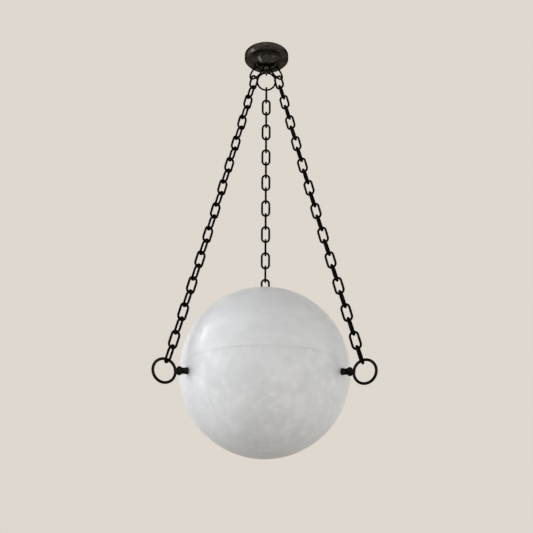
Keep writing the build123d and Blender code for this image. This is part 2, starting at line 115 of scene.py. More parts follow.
# Chains: side, azimuth, and the turn of the chain and of its top ring about their line, in degrees
sides = (("back", 90.0, 0.0, 0.0), ("left", 210.0, 10.0, 16.0), ("right", 330.0, 4.0, -12.0))
azimuths = [side[1] for side in sides]
link_count = 24
link_inner_length = 40.9
link_gap = 0.3
link_pitch = link_inner_length - link_gap
chain_lean = radians(14.1927)
eye_spot = (27.7, -48.4)
top_ring_radius = 28.25
top_ring_wire = 5.5
top_ring_swelling = 0.22
top_ring_weld_angle = 62
top_ring_inner = top_ring_radius - top_ring_wire / 2
link_sizes = {
    "Wire": 6.2 * MM,
    "Inner length": link_inner_length * MM,
    "Inner width": 15.9 * MM,
    "Pitch": link_pitch * MM,
    "Offset": 2 * (top_ring_inner - link_gap) * MM,
    "Span": (link_inner_length + (link_count - 1) * link_pitch - link_gap) * MM,
    "Sag": 4.0 * MM,
    "Lean": chain_lean,
    "Eye radius": eye_spot[0] * MM,
    "Eye height": eye_spot[1] * MM,
    "Weld": 0.09,
}

# Canopy
canopy_radius = 68.5
canopy_wall_height = 12.5
canopy_depth = 20.0
canopy_bevel = 6.5
canopy_sheet = 1.5
canopy_opening = 38.0
hub_radius = 50.0
hub_opening = 40.0
hub_edge = 1.5
hub_cove = 25.0
hub_floor = 5.0
hub_top = -canopy_depth
hub_bottom = hub_top - 21.0
eye_inner_radius = 4.7
eye_wire = 5.5
screw_height = -8.5
screw_hole = 2.15
screw_head = 3.5
screw_head_height = 2.5
screw_shank = 2.0
strap_face = -3.0
earth_screw_offset = 18.0
rod_radius = 6.5
rod_hole = 6.6
rod_bore = 4.75
rod_low = hub_bottom - 7.5
rod_high = -0.75
rod_nut_flats = 19.0
rod_nut_height = 5.5
cord_bore = 3.65

# Lamp frame
plate_drop = 82.0
plate_radius = 68.0
plate_opening = 8.0
tab_half_height = 12.0
arm_half_width = 10.0
holder_circle = 42.0
holder_angles = (150.0, 270.0, 30.0)
holder_floor = 9.0
contact_top = 10.0
cap_length = 25.0
plate_top = globe_height - plate_drop + frame_thickness


# Nodes


class Field:
    """A node's output that can be added, subtracted, multiplied and divided."""

    def __init__(self, socket):
        self.socket, self.tree = socket, socket.id_data

    def __add__(self, other):
        return calc("ADD", self, other)

    def __sub__(self, other):
        return calc("SUBTRACT", self, other)

    def __rsub__(self, other):
        return calc("SUBTRACT", other, self)

    def __mul__(self, other):
        return calc("MULTIPLY", self, other)

    def __truediv__(self, other):
        return calc("DIVIDE", self, other)

    def __rtruediv__(self, other):
        return calc("DIVIDE", other, self)


def feed(node, inputs):
    """Set or link inputs of a node."""
    for key, value in inputs.items():
        if isinstance(value, Field):
            value.tree.links.new(value.socket, node.inputs[key])
        else:
            node.inputs[key].default_value = value


def put(tree, kind, inputs=None, **settings):
    """Add a node, by default a shader's, with its settings and its input values or links."""
    node = tree.nodes.new(kind if "Node" in kind else f"ShaderNode{kind}")
    for key, value in settings.items():
        setattr(node, key, value)
    feed(node, inputs or {})
    return node


def made(tree, kind, inputs=None, output=0, **settings):
    """Output of a new node."""
    return Field(put(tree, kind, inputs, **settings).outputs[output])


def calc(operation, a, b=0.0, clamp=False):
    """Result of a Math node."""
    tree = (a if isinstance(a, Field) else b).tree
    return made(tree, "Math", {0: a, 1: b}, operation=operation, use_clamp=clamp)


# Materials


def finish_base(name):
    """New material: its tree, its shader and the piece's own coordinates."""
    material = bpy.data.materials.new(name)
    material.use_nodes = True
    tree = material.node_tree
    tree.nodes.clear()
    shader = put(tree, "BsdfPrincipled")
    put(tree, "OutputMaterial", {"Surface": Field(shader.outputs["BSDF"])})
    return material, tree, shader, made(tree, "TexCoord", output="Object")


def clouds(place, scale, detail=4.0, roughness=0.55, distortion=0.0):
    """Fractal noise between 0 and 1."""
    inputs = {"Vector": place, "Scale": scale, "Detail": detail}
    inputs.update({"Roughness": roughness, "Distortion": distortion})
    return made(place.tree, "TexNoise", inputs, "Fac")


def spread(value, low, high, to_low=0.0, to_high=1.0):
    """Smooth step of a value from one range to another."""
    inputs = {"Value": value, "From Min": low, "From Max": high, "To Min": to_low, "To Max": to_high}
    return made(value.tree, "MapRange", inputs, "Result", interpolation_type="SMOOTHSTEP")


def blend(share, first, second):
    """Mix of two colours."""
    return made(share.tree, "Mix", {0: share, 6: first, 7: second}, 2, data_type="RGBA")


def surface(shader, colour, roughness, metallic=0.0):
    """Set the shader's main inputs."""
    feed(shader, {"Base Color": colour, "Roughness": roughness, "Metallic": metallic})


def relief(shader, height, strength, distance):
    """Bump on the shader's normal."""
    inputs = {"Height": height, "Strength": strength, "Distance": distance}
    feed(shader, {"Normal": made(height.tree, "Bump", inputs)})


def alabaster(name, shift, spot_share, patch_share, stretch):
    """Polished white stone: clouds, pale grains, grey translucent patches and faint veins."""
    material, tree, shader, place = finish_base(name)
    mapped = made(tree, "Mapping", {"Vector": place, "Location": shift, "Scale": stretch})
    warp = made(tree, "TexNoise", {"Vector": mapped, "Scale": 7.0, "Detail": 3.0}, "Color")
    offset = made(tree, "VectorMath", {0: warp, 1: (0.06, 0.06, 0.06)}, operation="MULTIPLY")
    bent = made(tree, "VectorMath", {0: mapped, 1: offset}, operation="ADD")
    broad = spread(clouds(bent, 6.5, 5.0, 0.6), 0.30, 0.70)
    colour = blend(broad, (0.655, 0.66, 0.665, 1), (0.72, 0.723, 0.725, 1))
    patches = spread(clouds(bent, 24.0, 4.0, 0.6), 0.44, 0.66, 0.0, patch_share)
    colour = blend(patches, colour, (0.60, 0.606, 0.612, 1))
    sparse = spread(clouds(mapped, 8.0, 2.0), 0.36, 0.60)
    for size, share in ((23.0, 0.8), (44.0, 0.75)):
        cells = {"Vector": bent, "Scale": size, "Smoothness": 0.55}
        grains = made(tree, "TexVoronoi", cells, feature="SMOOTH_F1")
        web_share = spread(grains, 0.42, 0.72, 0.0, 0.55 * spot_share * share) * sparse
        colour = blend(web_share, colour, (0.60, 0.604, 0.608, 1))
        grain_share = spread(grains, 0.46, 0.10, 0.0, spot_share * share) * sparse
        colour = blend(grain_share, colour, (0.79, 0.793, 0.796, 1))
    vein_line = calc("ABSOLUTE", clouds(bent, 5.0, 6.0, 0.62, 0.6) - 0.5)
    colour = blend(spread(vein_line, 0.016, 0.0, 0.0, 0.10), colour, (0.56, 0.56, 0.56, 1))
    surface(shader, colour, spread(patches, 0.0, patch_share, 0.28, 0.36))
    feed(shader, {"Subsurface Weight": 0.3, "Subsurface Radius": (1.0, 0.95, 0.9), "Subsurface Scale": 0.010})
    feed(shader, {"IOR": 1.52, "Coat Weight": 0.08, "Coat Roughness": 0.15})
    relief(shader, clouds(mapped, 16.0, 2.0), 0.05, 0.002)
    return material


def dark_bronze(name, grain, tone, rubbed, low_gloss, high_gloss):
    """Near-black bronze, satin, browner where it is rubbed, with painted shade (blacker and rougher) where a
    piece carries its shade value.
    """
    material, tree, shader, place = finish_base(name)

    def attribute(label):
        return made(tree, "Attribute", output="Fac", attribute_name=label)

    dark = (0.016 * tone, 0.0145 * tone, 0.013 * tone, 1)
    light = (0.034 * tone, 0.031 * tone, 0.028 * tone, 1)
    colour = blend(spread(clouds(place, 48.0, 5.0, 0.6), 0.32, 0.68), dark, light)
    colour = blend(attribute("tone") * 0.3, colour, (0.022, 0.02, 0.018, 1))
    # Painted shade: blacker colour and rougher satin where the piece carries its shade value (the hub's eyes,
    # below its foot)
    painted_shade = attribute("painted_shade")
    colour = blend(painted_shade, colour, (0.010, 0.009, 0.008, 1))
    wear = attribute("rub") * spread(clouds(place, 160.0, 4.0, 0.65), 0.30, 0.58)
    colour = blend(wear * rubbed, colour, (0.30, 0.27, 0.24, 1))
    fine = clouds(place, grain, 3.0, 0.6)
    satin = spread(fine, 0.3, 0.7, low_gloss, high_gloss) + painted_shade * 0.25 - wear * 0.10
    surface(shader, colour, satin, 1.0)
    feed(shader, {"Specular Tint": (0.16, 0.155, 0.15, 1)})
    relief(shader, fine, 0.08, 0.0003)
    return material


def plated_steel():
    """Zinc plate with its fine spangle."""
    material, tree, shader, place = finish_base("zinc_plate")
    spangle = made(tree, "TexVoronoi", {"Vector": place, "Scale": 260.0}, "Color")
    grey = made(tree, "SeparateColor", {0: spangle})
    colour = blend(grey, (0.46, 0.47, 0.48, 1), (0.62, 0.63, 0.64, 1))
    colour = blend(spread(clouds(place, 40.0), 0.5, 0.75, 0.0, 0.4), colour, (0.36, 0.36, 0.35, 1))
    surface(shader, colour, spread(grey, 0.0, 1.0, 0.30, 0.44), 1.0)
    relief(shader, clouds(place, 420.0), 0.08, 0.0003)
    return material


def plain_brass():
    """Aged brass, tarnished in patches."""
    material, _, shader, place = finish_base("plain_brass")
    tarnish = spread(clouds(place, 90.0, 5.0, 0.6), 0.42, 0.70)
    colour = blend(tarnish, (0.56, 0.46, 0.29, 1), (0.34, 0.27, 0.17, 1))
    surface(shader, colour, spread(tarnish, 0.0, 1.0, 0.24, 0.44), 1.0)
    relief(shader, clouds(place, 500.0), 0.06, 0.0003)
    return material


def glazed_porcelain():
    """White glaze with a faint orange-peel."""
    material, _, shader, place = finish_base("glazed_porcelain")
    colour = blend(clouds(place, 55.0, 3.0), (0.80, 0.79, 0.76, 1), (0.88, 0.87, 0.85, 1))
    surface(shader, colour, spread(clouds(place, 120.0), 0.3, 0.7, 0.16, 0.26))
    feed(shader, {"Coat Weight": 0.5, "Coat Roughness": 0.06})
    relief(shader, clouds(place, 210.0, 2.0), 0.06, 0.0005)
    return material


def cap_metal():
    """Rolled aluminium of a lamp cap."""
    material, tree, shader, place = finish_base("cap_metal")
    streak = made(tree, "Mapping", {"Vector": place, "Scale": (60.0, 60.0, 700.0)})
    lines = clouds(streak, 1.0, 3.0)
    colour = blend(lines, (0.62, 0.62, 0.61, 1), (0.76, 0.76, 0.74, 1))
    surface(shader, colour, spread(lines, 0.3, 0.7, 0.26, 0.40), 1.0)
    return material


def opal_glass():
    """White coated glass of the bulbs."""
    material, _, shader, place = finish_base("opal_glass")
    colour = blend(clouds(place, 40.0, 3.0), (0.84, 0.83, 0.79, 1), (0.90, 0.89, 0.86, 1))
    surface(shader, colour, spread(clouds(place, 80.0), 0.3, 0.7, 0.20, 0.28))
    feed(shader, {"Subsurface Weight": 0.3, "Subsurface Scale": 0.006})
    feed(shader, {"Coat Weight": 0.6, "Coat Roughness": 0.05})
    return material


def pressed_felt():
    """Charcoal felt with matted fibres."""
    material, _, shader, place = finish_base("pressed_felt")
    fibres = clouds(place, 900.0, 5.0, 0.7, 1.5)
    colour = blend(fibres, (0.02, 0.02, 0.02, 1), (0.075, 0.073, 0.07, 1))
    surface(shader, colour, 0.95)
    feed(shader, {"Sheen Weight": 0.4})
    relief(shader, fibres, 0.5, 0.0008)
    return material


def sealing_rubber(name, low, high):
    """Soft silicone, dusty in places."""
    material, _, shader, place = finish_base(name)
    dust = clouds(place, 130.0, 4.0)
    surface(shader, blend(dust, low, high), spread(dust, 0.3, 0.7, 0.55, 0.72))
    relief(shader, clouds(place, 600.0), 0.08, 0.0004)
    return material


# Finishes: material and slot
bowl_stone = (alabaster("alabaster_bowl", (0.43, 0.17, 0.05), 0.62, 0.5, (1.0, 1.0, 0.9)), "alabaster")
lid_stone = (alabaster("alabaster_lid", (0.83, 0.44, 0.62), 0.18, 0.28, (0.8, 0.8, 1.7)), "alabaster")
cast_bronze = (dark_bronze("cast_bronze", 520.0, 2.5, 0.35, 0.20, 0.30), "dark_bronze")
rubbed_bronze = (dark_bronze("rubbed_bronze", 520.0, 4.0, 0.35, 0.26, 0.36), "dark_bronze")
turned_bronze = (dark_bronze("turned_bronze", 620.0, 0.7, 0.25, 0.34, 0.48), "dark_bronze")
wire_bronze = (dark_bronze("wire_bronze", 800.0, 0.28, 0.10, 0.40, 0.54), "dark_bronze")
steel = (plated_steel(), "zinc_steel")
brass = (plain_brass(), "brass")
porcelain = (glazed_porcelain(), "porcelain")
aluminium = (cap_metal(), "cap_metal")
bulb_white = (opal_glass(), "opal_glass")
felt = (pressed_felt(), "felt")
silicone = (sealing_rubber("grey_silicone", (0.52, 0.52, 0.50, 1), (0.66, 0.66, 0.64, 1)), "silicone")
black_rubber = sealing_rubber("black_silicone", (0.008, 0.008, 0.008, 1), (0.02, 0.02, 0.019, 1))
black_silicone = (black_rubber, "silicone")


# Outlines of turned shapes


def rounded(points, closed=False, steps=5):
    """Outline of (r, z, corner radius) points with its corners rounded, as (r, z, wear) points."""
    out = []
    count = len(points)
    for i, (r, z, radius) in enumerate(points):
        at_end = not closed and i in (0, count - 1)
        if radius <= 0 or at_end:
            out.append((r, z, 0.0))
            continue
        here = Vector((r, z))
        to_last = Vector(points[i - 1][:2]) - here
        to_next = Vector(points[(i + 1) % count][:2]) - here
        room = 0.45 * min(to_last.length, to_next.length)
        to_last.normalize()
        to_next.normalize()
        half = acos(max(-1.0, min(1.0, to_last.dot(to_next)))) / 2
        reach = min(radius / tan(half), room)
        radius = reach * tan(half)
        guard = min(reach * 1.3, room * 1.08)
        middle = here + (to_last + to_next).normalized() * radius / sin(half)
        start = here + to_last * reach - middle
        end = here + to_next * reach - middle
        turn = atan2(start.x * end.y - start.y * end.x, start.dot(end))
        out.append((*(here + to_last * guard), 0.0))
        for step in range(steps + 1):
            c, s = cos(turn * step / steps), sin(turn * step / steps)
            spoke = Vector((start.x * c - start.y * s, start.x * s + start.y * c))
            out.append((*(middle + spoke), sin(pi * step / steps)))
        out.append((*(here + to_next * guard), 0.0))
    return out


def arc(middle, radius, start, end, steps):
    """Points on an arc, angles in degrees, with no rounding of their own."""
    angles = [radians(start + (end - start) * k / steps) for k in range(steps + 1)]
    return [(middle[0] + radius * cos(a), middle[1] + radius * sin(a), 0.0) for a in angles]


def arc_radius(half_chord, rise):
    """Radius of the arc over a chord."""
    return (half_chord**2 + rise**2) / (2 * rise)


def thread_ridges(radius, low, high, pitch, depth):
    """Section of a screw thread, upwards."""
    count = max(2, int(abs(high - low) / pitch))
    step = (high - low) / count
    ridge = ((0, depth), (0.35, 0), (0.6, 0))
    points = [(radius - cut, low + step * (k + at), 0.0) for k in range(count) for at, cut in ridge]
    return points + [(radius - depth, high, 0.0)]


# Meshes


def meshed(shape, mesh=None):
    """Mesh of a finished bmesh, which is freed."""
    mesh = mesh or bpy.data.meshes.new("bench")
    shape.to_mesh(mesh)
    shape.free()
    return mesh


def soften(mesh, limit=38.0):
    """Smooth shading, with edges sharper than the limit kept crisp."""
    shape = bmesh.new()
    shape.from_mesh(mesh)
    for face in shape.faces:
        face.smooth = True
    for edge in shape.edges:
        edge.smooth = len(edge.link_faces) != 2 or degrees(edge.calc_face_angle(0.0)) < limit
    return meshed(shape, mesh)


def closed_mesh(shape):
    """Smooth mesh of a closed bmesh, its doubles merged and its faces outwards."""
    bmesh.ops.remove_doubles(shape, verts=shape.verts, dist=1e-7)
    bmesh.ops.recalc_face_normals(shape, faces=shape.faces)
    return soften(meshed(shape))


def turned(profile, steps, closed=False, flats=None):
    """Mesh turned about Z from (r, z, wear) points; flats cut it to a hexagon of that width."""
    shape = bmesh.new()
    wear_layer = shape.verts.layers.float.new("rub")
    rings = []
    for r, z, wear in profile:
        ring = []
        for k in range(steps if r > 1e-5 else 1):
            angle = 2 * pi * k / steps
            reach = r
            if flats and r > flats / 2 * 0.98:
                reach = min(r, flats / 2 / cos((angle % (pi / 3)) - pi / 6))
            vert = shape.verts.new((reach * cos(angle) * MM, reach * sin(angle) * MM, z * MM))
            vert[wear_layer] = wear
            ring.append(vert)
        rings.append(ring)
    for low, high in zip(rings, rings[1:] + (rings[:1] if closed else [])):
        for k in range(steps):
            after = (k + 1) % steps
            corners = [low[k % len(low)], low[after % len(low)], high[after % len(high)], high[k % len(high)]]
            corners = list(dict.fromkeys(corners))
            if len(corners) > 2:
                shape.faces.new(corners)
    return closed_mesh(shape)


def ring_of(outline, around, steps=5):
    """Ring turned from a closed outline of (r, z, corner radius) points."""
    return turned(rounded(outline, closed=True, steps=steps), around, closed=True)


def band_of(inside, outside, low, high, edges, around, steps=5):
    """Ring of rectangular section; its corner radii start at the lower inner corner."""
    corners = ((inside, low), (outside, low), (outside, high), (inside, high))
    return ring_of([(r, z, edge) for (r, z), edge in zip(corners, edges)], around, steps)


def rod_of(radius, low, high, steps=32):
    """Plain round cutter about Z."""
    return turned([(0, low, 0), (radius, low, 0), (radius, high, 0), (0, high, 0)], steps)


def torus(radius, wire, around=112, section=22, swelling=0.0):
    """Wire ring about Z, with a slight swelling where its ends were welded."""
    weld_reach = 3.5
    shape = bmesh.new()
    grid = []
    for i in range(around):
        a = 2 * pi * i / around
        off = min(a, 2 * pi - a) * radius
        thick = wire / 2 + swelling * max(0.0, 1 - (off / weld_reach) ** 2)
        row = []
        for j in range(section):
            b = 2 * pi * j / section
            reach = radius + thick * cos(b)
            row.append(shape.verts.new((reach * cos(a) * MM, reach * sin(a) * MM, thick * sin(b) * MM)))
        grid.append(row)
    for i in range(around):
        for j in range(section):
            n, m = (i + 1) % around, (j + 1) % section
            shape.faces.new((grid[i][j], grid[n][j], grid[n][m], grid[i][m]))
    return closed_mesh(shape)


def block(x, y, z):
    """Plain box cutter about its middle."""
    shape = bmesh.new()
    bmesh.ops.create_cube(shape, size=MM)
    bmesh.ops.scale(shape, vec=(x, y, z), verts=shape.verts)
    return meshed(shape)


def joined(*meshes):
    """One mesh of several separate shells."""
    shape = bmesh.new()
    for part in meshes:
        shape.from_mesh(part)
    return meshed(shape)


def placed(name, data):
    """New object in the scene."""
    obj = bpy.data.objects.new(name, data)
    scene.collection.objects.link(obj)
    return obj


def settled(obj):
    """Plain mesh of an object with its modifiers, and the object removed."""
    depsgraph = bpy.context.evaluated_depsgraph_get()
    mesh = bpy.data.meshes.new_from_object(obj.evaluated_get(depsgraph), depsgraph=depsgraph)
    bpy.data.objects.remove(obj)
    return mesh


def combined(mesh, tools, operation):
    """Mesh joined with, or cut by, other closed meshes."""
    obj = placed("bench", mesh)
    helpers = [placed("bench", tool) for tool in tools]
    for helper in helpers:
        cut = obj.modifiers.new("cut", "BOOLEAN")
        cut.operation = operation
        cut.solver = "EXACT"
        cut.object = helper
    result = settled(obj)
    for helper in helpers:
        bpy.data.objects.remove(helper)
    return soften(result)


def moved(mesh, matrix):
    """Copy of a mesh at another place."""
    copy = mesh.copy()
    copy.transform(matrix)
    return copy


def shift_by(x, y, z):
    """Translation in millimetres."""
    return Matrix.Translation((x * MM, y * MM, z * MM))


def turn_about(axis, angle):
    """Rotation about a main axis, in degrees."""
    return Matrix.Rotation(radians(angle), 4, axis)


# From a shape built about +Z to the tilt of a ring bolt
lay_over = turn_about("Y", 90 + bolt_latitude)


def below_eye(reach):
    """Radius and height of the point at that reach down a chain's line from the hub's eye."""
    return eye_spot[0] + reach * sin(chain_lean), eye_spot[1] - reach * cos(chain_lean)


def fit_piece(name, mesh, finish, *nodes):
    """Show a mesh in place of the CAD nodes that it stands for, on their body."""
    material, slot = finish
    mesh.name = name
    mesh.materials.clear()
    mesh.materials.append(material)
    obj = placed(name, mesh)
    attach(obj, frame["nodes"][nodes[0]]["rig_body"])
    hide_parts(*nodes)


# Node trees for what repeats


def tree_with(name, inputs):
    """Geometry tree, its inputs in the given order, and its output node."""
    tree = bpy.data.node_groups.new(name, "GeometryNodeTree")
    for label, kind in inputs:
        tree.interface.new_socket(name=label, in_out="INPUT", socket_type=f"NodeSocket{kind}")
    tree.interface.new_socket(name="Geometry", in_out="OUTPUT", socket_type="NodeSocketGeometry")
    sockets = put(tree, "NodeGroupInput").outputs
    return tree, [Field(sockets[label]) for label, _ in inputs], put(tree, "NodeGroupOutput")


def geo(tree, kind, inputs=None, output=0, **settings):
    """Output of a new geometry node."""
    return made(tree, f"GeometryNode{kind}", inputs, output, **settings)


def vector(tree, parts):
    """Vector of its parts by number, the others zero."""
    return made(tree, "CombineXYZ", parts)


def rotation(tree, parts):
    """Rotation by angles about X, Y and Z, by number."""
    return made(tree, "FunctionNodeEulerToRotation", {0: vector(tree, parts)})


def part_of(whole, number):
    """One part of a vector."""
    return made(whole.tree, "SeparateXYZ", {0: whole}, number)


def stored(geometry, label, value, domain):
    """Geometry with a number stored on it."""
    inputs = {"Geometry": geometry, "Name": label, "Value": value}
    return geo(geometry.tree, "StoreNamedAttribute", inputs, data_type="FLOAT", domain=domain)


def link_tree():
    """Chain links on a sagging line: each one's place and turn follow from its number."""
    weld_reach = 3.2 * MM
    inputs = [(label, "Float") for label in ("First", "Azimuth", "Twist", *link_sizes)]
    inputs += [("Count", "Int"), ("Metal", "Material")]
    tree, given, out = tree_with("links_on_a_line", inputs)
    first, azimuth, twist, wire, inner_length, inner_width, pitch, offset, span, sag, lean, *rest = given
    eye_radius, eye_height, weld, count, metal = rest

    # One link: a rounded rectangle swept with round wire, thicker at its weld
    outline = {"Width": inner_width + wire, "Height": inner_length + wire}
    path = geo(tree, "CurvePrimitiveQuadrilateral", outline)
    bend = (inner_width + wire) * 0.4999
    path = geo(tree, "FilletCurve", {"Curve": path, "Count": 12, "Radius": bend}, mode="POLY")
    path = geo(tree, "ResampleCurve", {"Curve": path, "Count": 64}, mode="COUNT")
    path = geo(tree, "Transform", {"Geometry": path, "Rotation": (pi / 2, 0, 0)})
    position = geo(tree, "InputPosition")
    x, z = part_of(position, 0), part_of(position, 2)
    off_weld = z / weld_reach
    swell = calc("MAXIMUM", 1.0 - off_weld * off_weld, 0.0) * weld * calc("GREATER_THAN", x, 0.0)
    section = geo(tree, "CurvePrimitiveCircle", {"Resolution": 16, "Radius": wire * 0.5})
    sweep = {"Curve": path, "Profile Curve": section, "Scale": swell + 1.0}
    link = geo(tree, "CurveToMesh", sweep)
    # Rubbed metal on the inside of each bend
    inward = part_of(geo(tree, "InputNormal"), 2) * calc("SIGN", z) * -1.0
    bend_start, bend_end = inner_length * 0.36, inner_length * 0.5
    near_end = calc("DIVIDE", calc("ABSOLUTE", z) - bend_start, bend_end - bend_start, clamp=True)
    link = stored(link, "rub", calc("MAXIMUM", inward, 0.0) * near_end, "POINT")
    link = geo(tree, "SetShadeSmooth", {"Geometry": link})
    # Places of the links on their line
    number = first + geo(tree, "InputIndex")
    from_start = inner_length * 0.5 + number * pitch
    along = from_start + offset
    share = from_start / span
    side = sag * 4.0 * (share * (1.0 - share))
    lean_sin, lean_cos = calc("SINE", lean), calc("COSINE", lean)
    radius = eye_radius + along * lean_sin - side * lean_cos
    height = eye_height - along * lean_cos - side * lean_sin
    points = geo(tree, "Points", {"Count": count, "Position": vector(tree, {0: radius, 2: height})})
    slope = calc("ARCTAN2", sag * 4.0 * (1.0 - share * 2.0), span)
    hung = {"Points": points, "Instance": link, "Rotation": rotation(tree, {1: slope - lean})}
    chain = geo(tree, "InstanceOnPoints", hung)
    # Every other link is turned by a quarter
    quarter = twist + calc("MODULO", number, 2.0) * (pi / 2)
    own_turn = {"Instances": chain, "Rotation": rotation(tree, {2: quarter}), "Local Space": True}
    chain = geo(tree, "RotateInstances", own_turn)
    shade = made(tree, "FunctionNodeRandomValue", {"Seed": 11}, 1, data_type="FLOAT")
    chain = stored(chain, "tone", shade, "INSTANCE")
    chain = geo(tree, "RealizeInstances", {"Geometry": chain})
    chain = geo(tree, "Transform", {"Geometry": chain, "Rotation": vector(tree, {2: azimuth})})
    feed(out, {0: geo(tree, "SetMaterial", {"Geometry": chain, "Material": metal})})
    return tree


def round_tree():
    """Copies of one mesh turned about Z at equal steps."""
    inputs = [("Start", "Float"), ("Height", "Float"), ("Count", "Int")]
    inputs += [("Master", "Object"), ("Finish", "Material")]
    tree, (start, height, count, master, finish), out = tree_with("copies_round_the_axis", inputs)
    index = geo(tree, "InputIndex")
    points = geo(tree, "Points", {"Count": count, "Position": vector(tree, {2: height})})
    turn = rotation(tree, {2: start + index * (2 * pi / count)})
    shape = geo(tree, "ObjectInfo", {"Object": master}, "Geometry")
    copies = geo(tree, "InstanceOnPoints", {"Points": points, "Instance": shape, "Rotation": turn})
    copies = geo(tree, "RealizeInstances", {"Geometry": copies})
    feed(out, {0: geo(tree, "SetMaterial", {"Geometry": copies, "Material": finish})})
    return tree


def grown(tree, values):
    """Plain mesh of a tree with these inputs."""
    obj = placed("bench", bpy.data.meshes.new("seed"))
    modifier = obj.modifiers.new("grow", "NODES")
    modifier.node_group = tree
    for item in tree.interface.items_tree:
        if item.item_type == "SOCKET" and item.in_out == "INPUT":
            modifier[item.identifier] = values[item.name]
    return settled(obj)


links_on_a_line = link_tree()
copies_round_the_axis = round_tree()


def chain_links(first, count, azimuth, twist):
    """Links from first, counted from 0 at the top."""
    turns = {"Azimuth": radians(azimuth), "Twist": radians(twist)}
    numbers = {"First": float(first), "Count": count}
    return grown(links_on_a_line, {**link_sizes, **turns, **numbers, "Metal": wire_bronze[0]})


def fit_copies(name, mesh, count, start, height, finish, node):
    """Show the same mesh at equal steps about the axis, as one piece."""
    master = placed("bench", mesh)
    values = {"Start": radians(start), "Height": height * MM, "Count": count, "Master": master}
    copies = grown(copies_round_the_axis, {**values, "Finish": finish[0]})
    bpy.data.objects.remove(master)
    fit_piece(name, soften(copies), finish, node)


# Globe


def stone_bowl():
    """Lower half: shell with a rabbet round its rim, drilled for the ring bolts."""
    rabbet_radius = inner_radius + lip_wall + lip_clearance
    rabbet_depth = lip_height + gasket_thickness
    rim_angle = degrees(asin(rim_rounding / globe_radius))
    inner_angle = degrees(asin(rabbet_depth / inner_radius))
    profile = arc((0, 0), globe_radius, -90, -rim_angle, 112)
    rim = [(globe_radius, -2 * rim_rounding, 0), (globe_radius, 0, rim_rounding), (rabbet_radius, 0, 0.6)]
    rim += [(rabbet_radius, -rabbet_depth, 0.4), (inner_radius * cos(radians(inner_angle)), -rabbet_depth, 0)]
    profile += rounded(rim)[1:]
    profile += arc((0, 0), inner_radius, -inner_angle - 0.8, -90, 88)
    drill = rod_of(bolt_hole_radius, inner_radius - globe_wall, globe_radius + globe_wall)
    drills = [moved(drill, turn_about("Z", azimuth) @ lay_over) for azimuth in azimuths]
    shell = combined(turned(profile, stone_steps), drills, "DIFFERENCE")
    return moved(shell, shift_by(0, 0, globe_height))


def stone_lid():
    """Upper half: shell with a lip below and a cord hole in its crown, a hair above the bowl."""
    lip_outer = inner_radius + lip_wall
    rim_angle = degrees(asin(rim_rounding / globe_radius))
    crown_angle = 90 - degrees(asin(crown_hole / globe_radius))
    crown_inner_angle = 90 - degrees(asin(crown_hole / inner_radius))
    lip_low = lid_seat - lip_height
    rim = [(inner_radius, 0, 0), (inner_radius, lip_low, 0.8), (lip_outer, lip_low, 0.8)]
    rim += [(lip_outer, lid_seat, 0.4), (globe_radius, lid_seat, rim_rounding)]
    profile = rounded(rim + [(globe_radius, 2 * rim_rounding, 0)])[:-1]
    profile += arc((0, 0), globe_radius, rim_angle, crown_angle, 108)
    profile += arc((0, 0), inner_radius, crown_inner_angle, 0.6, 88)
    return moved(turned(profile, stone_steps, closed=True), shift_by(0, 0, globe_height))


fit_piece("globe_bowl_stone", stone_bowl(), bowl_stone, "globe_bowl")
fit_piece("globe_lid_stone", stone_lid(), lid_stone, "globe_lid")


# Ring bolts and what they clamp


def ring_bolt():
    """Threaded shank, barrel bead, neck and welded ring, about +Z from the globe's centre."""
    bead_steps = 18
    bulge = arc_radius(bead_length / 2, bead_radius - bead_end_radius)
    sweep = degrees(asin(bead_length / 2 / bulge))
    profile = [(0, shank_start, 0), (shank_radius - 1, shank_start, 0)]
    profile += thread_ridges(shank_radius, shank_start + 1, washer_face, thread_pitch, thread_depth)
    profile += [(shank_radius, washer_face + 0.5, 0), (shank_radius, collar_end, 0)]
    profile += [(bead_face_radius, collar_end, 0)]
    bead_middle = (bead_radius - bulge, (collar_end + bead_end) / 2)
    bead = arc(bead_middle, bulge, -sweep + 2, sweep - 2, bead_steps)
    profile += [(r, z, 0.5 if k in (0, bead_steps) else 0.0) for k, (r, z, _) in enumerate(bead)]
    profile += [(bead_face_radius, bead_end, 0)]
    neck = [(7.0, bead_end, 0), (neck_radius, bead_end, 0.6), (neck_radius, neck_end - 0.5, 0.8)]
    profile += rounded(neck + [(3.0, neck_end + 1.6, 0), (0, neck_end + 1.6, 0)])
    ring = moved(torus(low_ring_radius, low_ring_wire), shift_by(0, 0, low_ring_reach) @ turn_about("X", 90))
    boss = moved(turned(arc((0, 0), weld_boss_radius, -90, 90, 20), 40), shift_by(0, 0, neck_end))
    return combined(turned(profile, 64), [ring, boss], "UNION")


def spool_collar():
    """Waisted sleeve between the bead and the globe."""
    end = collar_radius
    foot = collar_start + collar_foot
    half = (collar_end - foot) / 2
    hollow = arc_radius(half, end - collar_waist)
    sweep = degrees(asin(half / hollow))
    lower = [(sleeve_bore, collar_end, 0), (sleeve_bore, collar_start, 0.3), (end, collar_start, 0.5)]
    profile = rounded(lower + [(end, foot, 0.5), (end - 0.4, foot + 0.6, 0)])[:-1]
    middle = (collar_waist + hollow, (foot + collar_end) / 2)
    profile += arc(middle, hollow, 180 + sweep * 0.92, 180 - sweep * 0.96, 16)
    profile += [(end - 0.05, collar_end - 0.25, 0.8), (end - 0.35, collar_end, 0.6)]
    return turned(profile, 64, closed=True)


def washer_ring(radius, low, high, edge):
    """Ring on a bolt's axis with softened edges."""
    return band_of(sleeve_bore, radius, low, high, [edge] * 4, 64, 4)


